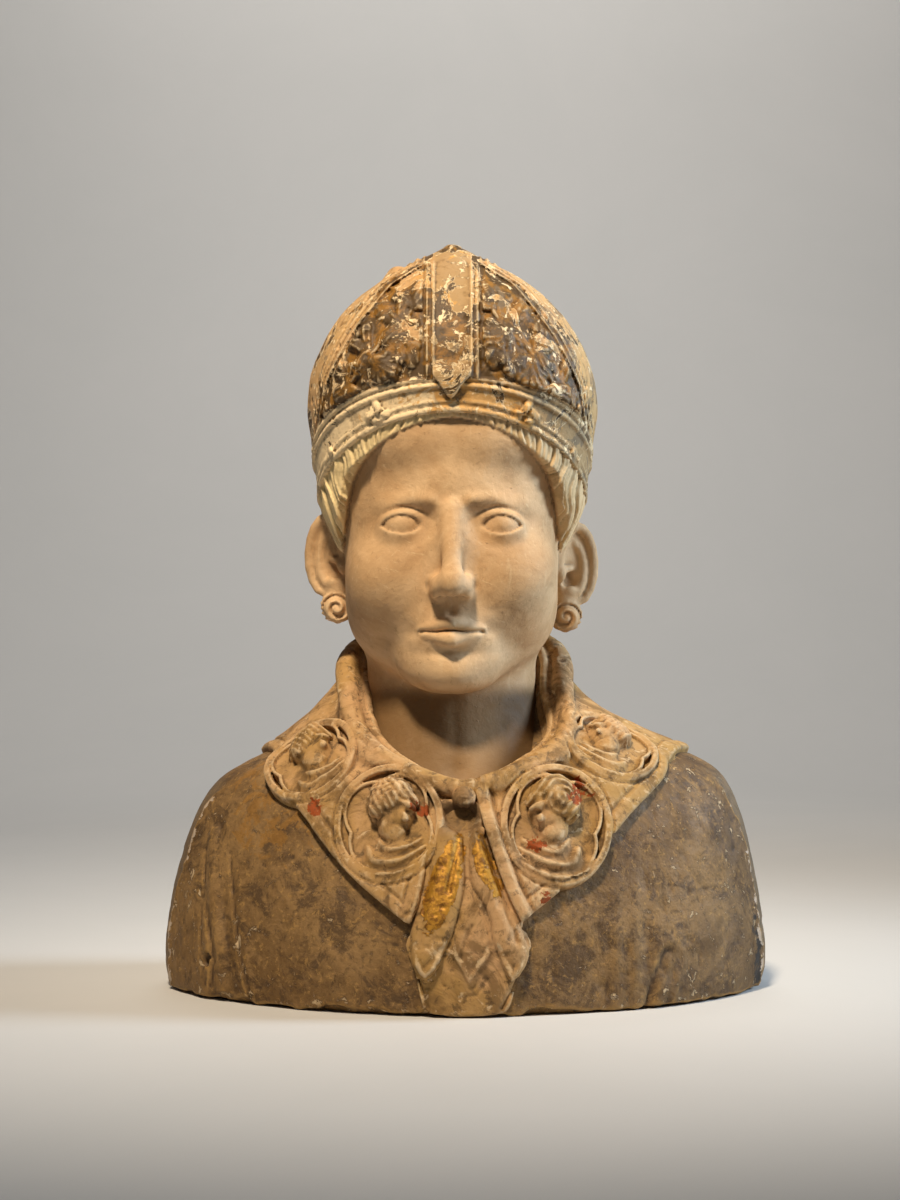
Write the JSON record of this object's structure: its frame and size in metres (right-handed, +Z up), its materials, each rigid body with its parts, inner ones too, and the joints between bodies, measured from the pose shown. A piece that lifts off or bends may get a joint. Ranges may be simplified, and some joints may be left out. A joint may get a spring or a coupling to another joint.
{
  "type": "stone saint bust",
  "caption": "Stone bust of a mitred saint with a high collar, carved roundels on the lapels and a gathered scarf, cut flat below.",
  "frame": {"origin": "middle of the bust's bounding box, on its flat underside", "axes": "+Z up, the face looks towards -Y, +X is on the viewer's right"},
  "size_m": [0.4102, 0.2486, 0.498],
  "materials": {
    "stone": "carved stone with worn paint and gold leaf"
  },
  "bodies": {
    "root": {"saint_bust": "stone"}
  },
  "joints": []
}
